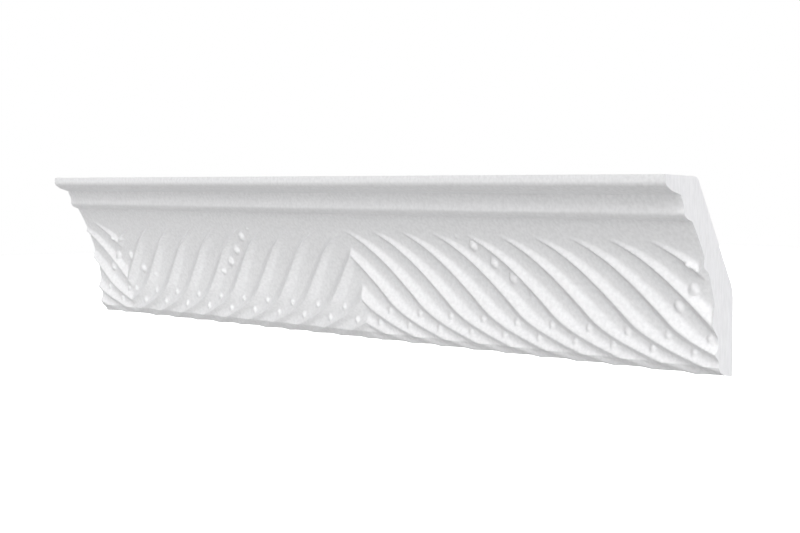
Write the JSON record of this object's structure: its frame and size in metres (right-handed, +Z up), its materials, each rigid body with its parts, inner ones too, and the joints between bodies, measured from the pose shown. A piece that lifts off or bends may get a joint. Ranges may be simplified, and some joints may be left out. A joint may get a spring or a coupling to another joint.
{
  "type": "ceiling moulding",
  "caption": "Length of white foam ceiling coving: a lip and a narrow band over a cove carved with sweeping ridges that spring from a joint, with small beads.",
  "frame": {"origin": "middle of the flat wall face, half way along the length and half way up the face", "axes": "+X along the length, to the right as seen from the room; +Y into the wall; +Z up to the ceiling"},
  "size_m": [0.422, 0.035, 0.0699],
  "materials": {
    "white_foam": "matt, fine-grained polystyrene foam"
  },
  "bodies": {
    "root": {"ceiling_moulding": "white_foam"}
  },
  "joints": []
}
